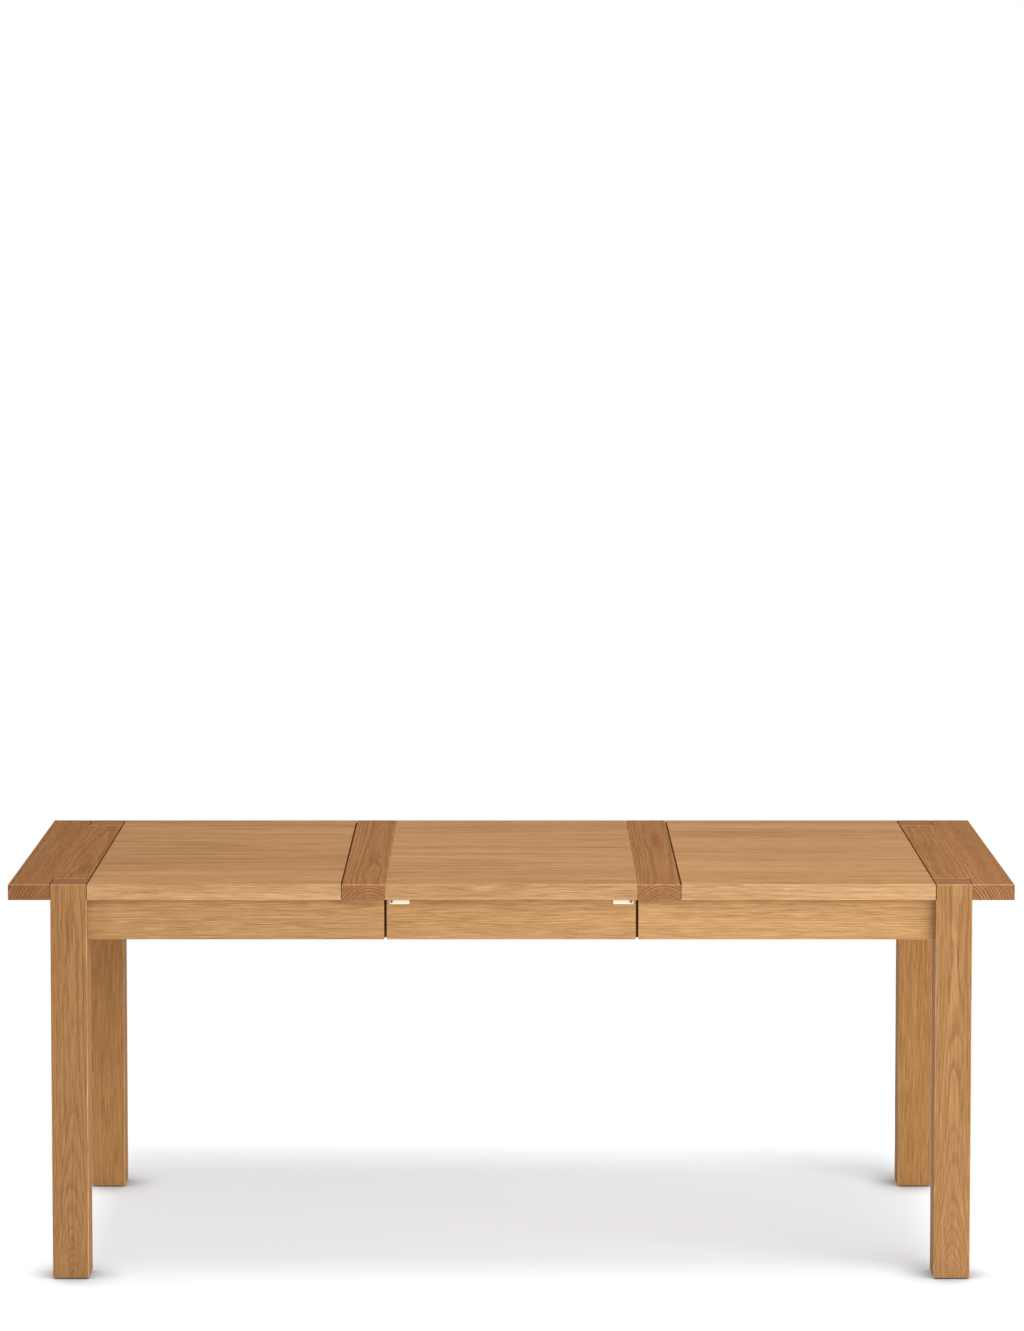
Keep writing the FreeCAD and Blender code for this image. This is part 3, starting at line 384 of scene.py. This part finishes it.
# A panel's long edges are made paler, a painted light from the front
PANEL = dict(HONEY, stave=0.098, streaks=0.8, bands=0.95, threads=0.9,
             edge_tint_and_light=(1.08, 1.21, 1.36))
APRON = dict(HONEY, pith=(0.05, 0.03), edge_tint_and_light=(1.0, 1.06, 1.09))
END_BOARD = dict(REDDISH, ring=0.005, ripple=0.007, end_tint=(0.94, 1.0, 1.28),
                 end_contrast=0.65, end_arris=1.1)
CROSS_BOARD = dict(REDDISH, pith=(0.012, -0.04), ring=0.0045, ripple=0.004,
                   end_tint=(1.05, 1.13, 1.45), end_contrast=0.65, end_arris=1.1)
LEG = dict(streaks=0.3, bands=0.35, end_tint=(0.96, 0.9, 1.04), end_arris=0.8, side_arris=0.9)
FRONT_LEG = dict(LEG, light=linear(162, 119, 76), dark=linear(120, 82, 47), contrast=0.3,
                 pith=(0.004, 0.02), arch=0.034, ripple=0.005)
BACK_LEG = dict(LEG, light=linear(166, 121, 75), dark=linear(127, 84, 47), pith=(0.09, 0.02))
BEECH = dict(light=linear(200, 162, 124), dark=linear(176, 136, 98), contrast=0.3, ring=0.003,
             pore_depth=0.1)
# Where the pith of an end board lies, towards the table's middle and below it
END_BOARD_PITH = (0.055, -0.05)
# How much paler or darker a piece is than the others like it: partly its own tone, partly painted
# light that falls off from right to left
TONES_AND_PAINTED_LIGHT = {"left_top_panel": -0.06, "left_end_board": -0.08, "right_end_board": 0.09,
          "left_front_apron": -0.04, "leaf_front_apron": 0.03, "right_front_apron": 0.08,
          "left_front_leg": -0.04, "right_front_leg": 0.03, "right_back_leg": -0.04}


def outward(node):
    """The side of a half that is away from the table's middle: 1 to the right, -1 to the left."""
    return 1 if node.startswith("right_") else -1


def wood_of(node, seed):
    """The wood of a CAD node, or None where it is metal or nylon."""
    piece = dict(node=node, seed=seed, shade=TONES_AND_PAINTED_LIGHT.get(node, 0.0))
    if node == "leaf_panel":
        return wood("oak", grain="X", **piece, **PANEL)
    if node.endswith("top_panel"):
        return wood("oak", grain="X", **piece, **PANEL, **SHADED_GROOVE_ENDS)
    if node.endswith("end_board"):
        inward = -outward(node)
        pith = (END_BOARD_PITH[0] * inward, END_BOARD_PITH[1])
        return wood("oak", grain="Y", pith=pith, groove=inward, **piece, **END_BOARD)
    if node.endswith("cross_board"):
        return wood("oak", grain="Y", groove=outward(node), **piece, **CROSS_BOARD)
    if node.endswith("front_leg"):
        return wood("oak", grain="Z", groove=-outward(node), **piece, **FRONT_LEG)
    if node.endswith("back_leg"):
        return wood("oak", grain="Z", groove=-outward(node), **piece, **BACK_LEG)
    if node.endswith("end_apron"):
        return wood("oak", grain="Y", **piece, **APRON)
    if node.endswith("_apron"):
        return wood("oak", grain="X", **piece, **APRON)
    if node.endswith("blocks"):
        return wood("oak", grain="X", **piece, **REDDISH)
    if node.endswith(("inner_rail", "centre_tie")):
        return wood("beech", grain="Y", **piece, **BEECH)
    if node.endswith(("slide_bar", "centre_bar", "apron_dowels")):
        return wood("beech", grain="X", **piece, **BEECH)
    return None


def paint(node, material):
    """Puts a material on every slot of a CAD node."""
    for place in nodes[node].material_slots:
        place.material = material


def paint_table():
    for number, node in enumerate(sorted(nodes), start=1):
        material = wood_of(node, seed=number)
        if material:
            paint(node, material)

    # colour, metallic, roughness, specks to a metre, variation, depth of the relief
    zinc = speckled("zinc_plate", linear(190, 194, 198), 1.0, 0.38, 900.0, 0.12, 0.00004)
    white = speckled("white_nylon", linear(225, 222, 212), 0.0, 0.42, 700.0, 0.05, 0.00003)
    cream = speckled("cream_nylon", linear(252, 238, 214), 0.0, 0.38, 700.0, 0.04, 0.00003)
    brown = speckled("brown_nylon", linear(92, 62, 46), 0.0, 0.5, 700.0, 0.12, 0.00005)
    bronzed = speckled("bronzed_steel", linear(150, 132, 115), 0.6, 0.5, 900.0, 0.2, 0.00004)
    finishes = {
        ("_latch",): cream,
        ("latch_screws",): bronzed,
        ("leg_glides",): brown,
        ("_rack", "_pinion"): white,
        ("corner_plates", "leg_bolts", "leg_nuts", "plate_screws", "slide_screws", "tie_screws",
         "pinion_axles", "slide_stops"): zinc,
    }
    for node in nodes:
        for endings, material in finishes.items():
            if node.endswith(endings):
                paint(node, material)


# Studio: the floor glows a little near the table and fully further off, so it meets the backdrop

FLOOR_HALF = 30.0
FLOOR_LEVEL = -0.0003
FLOOR_GLOW = 0.2
FLOOR_GLOW_STRENGTH = 1.8
# Where the shade gives way to white, left and right of the table, and before and behind it
SHADOW_SIDES = (0.8, 1.02)
SHADOW_ENDS = (0.6, 1.2)
# How far off a part darkens the floor with a painted contact shadow, and the samples for it
CONTACT_REACH = 0.08
CONTACT_SAMPLES = 8
# Cooler under the table, against the warm light that its underside gives back
SHADED_FLOOR = (0.88, 0.945, 1.0, 1.0)

# The backdrop's strength at the horizon and overhead, and the heights it changes between
HORIZON = 1.0
ZENITH = 0.45
WALL_TOP = (0.1, 0.35)

# Each light's place, target, width, height and power
LIGHTS = {"overhead": ((0.1, -0.5, 4.2), (0, 0, 0), 1.6, 1.2, 60.0),
          "key": ((4.4, -5.0, 2.8), (0, 0, 0.5), 6.0, 4.0, 380.0)}

# Camera: in front of the table's long edge, a little above it, looking slightly down
CAMERA_DISTANCE = 7.7
CAMERA_HEIGHT = 2.095
CAMERA_SIDE = 0.0014
CAMERA_PITCH = 3.853
CAMERA_LENS = 109.405
CAMERA_SENSOR = 36.0
CAMERA_SHIFT = -0.15


def floor_material():
    graph = Graph("studio_floor")
    sides = graph.split(graph.place())
    aside = graph.smooth(graph.absolute(sides[0]), *SHADOW_SIDES)
    beyond = graph.smooth(graph.absolute(sides[1]), *SHADOW_ENDS)
    far = graph.math("MAXIMUM", aside, beyond)
    # painted contact shadow: the floor's colour and glow are darkened where parts stand close
    contact = graph.node("AmbientOcclusion", {"Distance": CONTACT_REACH}, samples=CONTACT_SAMPLES)
    painted_contact_shade = contact.outputs["AO"]
    strength = graph.add(graph.scale(far, HORIZON - FLOOR_GLOW_STRENGTH), FLOOR_GLOW_STRENGTH)
    glow = graph.add(graph.scale(far, 1 - FLOOR_GLOW), FLOOR_GLOW)
    matt = graph.node("BsdfDiffuse", {"Color": graph.mix(1.0, SHADED_FLOOR, painted_contact_shade, "MULTIPLY")})
    lit = graph.node("Emission", {"Color": WHITE, "Strength": graph.scale(strength, painted_contact_shade)})
    return graph.surface(graph.node("MixShader", {0: glow, 1: matt.outputs[0], 2: lit.outputs[0]}))


def make_floor():
    mesh = bpy.data.meshes.new("studio_floor")
    corners = [(x * FLOOR_HALF, y * FLOOR_HALF, FLOOR_LEVEL)
               for x, y in ((-1, -1), (1, -1), (1, 1), (-1, 1))]
    mesh.from_pydata(corners, [], [(0, 1, 2, 3)])
    floor = bpy.data.objects.new("studio_floor", mesh)
    bpy.context.scene.collection.objects.link(floor)
    mesh.materials.append(floor_material())


def make_light(name, place, target, width, height, power):
    light = bpy.data.lights.new(name, "AREA")
    light.shape = "RECTANGLE"
    light.size = width
    light.size_y = height
    light.energy = power
    lamp = bpy.data.objects.new(name, light)
    lamp.location = place
    lamp.rotation_euler = (Vector(target) - Vector(place)).to_track_quat("-Z", "Y").to_euler()
    bpy.context.scene.collection.objects.link(lamp)


def make_world():
    """A white wall all round, and a dimmer ceiling."""
    world = bpy.data.worlds.new("studio")
    world.use_nodes = True
    tree = world.node_tree
    background = tree.nodes["Background"]
    background.inputs["Color"].default_value = WHITE
    direction = tree.nodes.new("ShaderNodeTexCoord")
    split = tree.nodes.new("ShaderNodeSeparateXYZ")
    tree.links.new(direction.outputs["Generated"], split.inputs[0])
    fall = tree.nodes.new("ShaderNodeMapRange")
    fall.interpolation_type = "SMOOTHSTEP"
    values = {"From Min": WALL_TOP[0], "From Max": WALL_TOP[1], "To Min": HORIZON,
              "To Max": ZENITH}
    for key, value in values.items():
        fall.inputs[key].default_value = value
    tree.links.new(split.outputs["Z"], fall.inputs["Value"])
    tree.links.new(fall.outputs[0], background.inputs["Strength"])
    bpy.context.scene.world = world


def make_camera():
    data = bpy.data.cameras.new("camera")
    data.lens = CAMERA_LENS
    data.sensor_width = CAMERA_SENSOR
    data.shift_y = CAMERA_SHIFT
    camera = bpy.data.objects.new("camera", data)
    camera.location = (CAMERA_SIDE, cad_low.y - CAMERA_DISTANCE, CAMERA_HEIGHT)
    camera.rotation_euler = (math.radians(90 - CAMERA_PITCH), 0, 0)
    bpy.context.scene.collection.objects.link(camera)
    bpy.context.scene.camera = camera


paint_table()
make_floor()
make_world()
for light_name, settings in LIGHTS.items():
    make_light(light_name, *settings)
make_camera()
bpy.context.scene.view_settings.view_transform = "Standard"
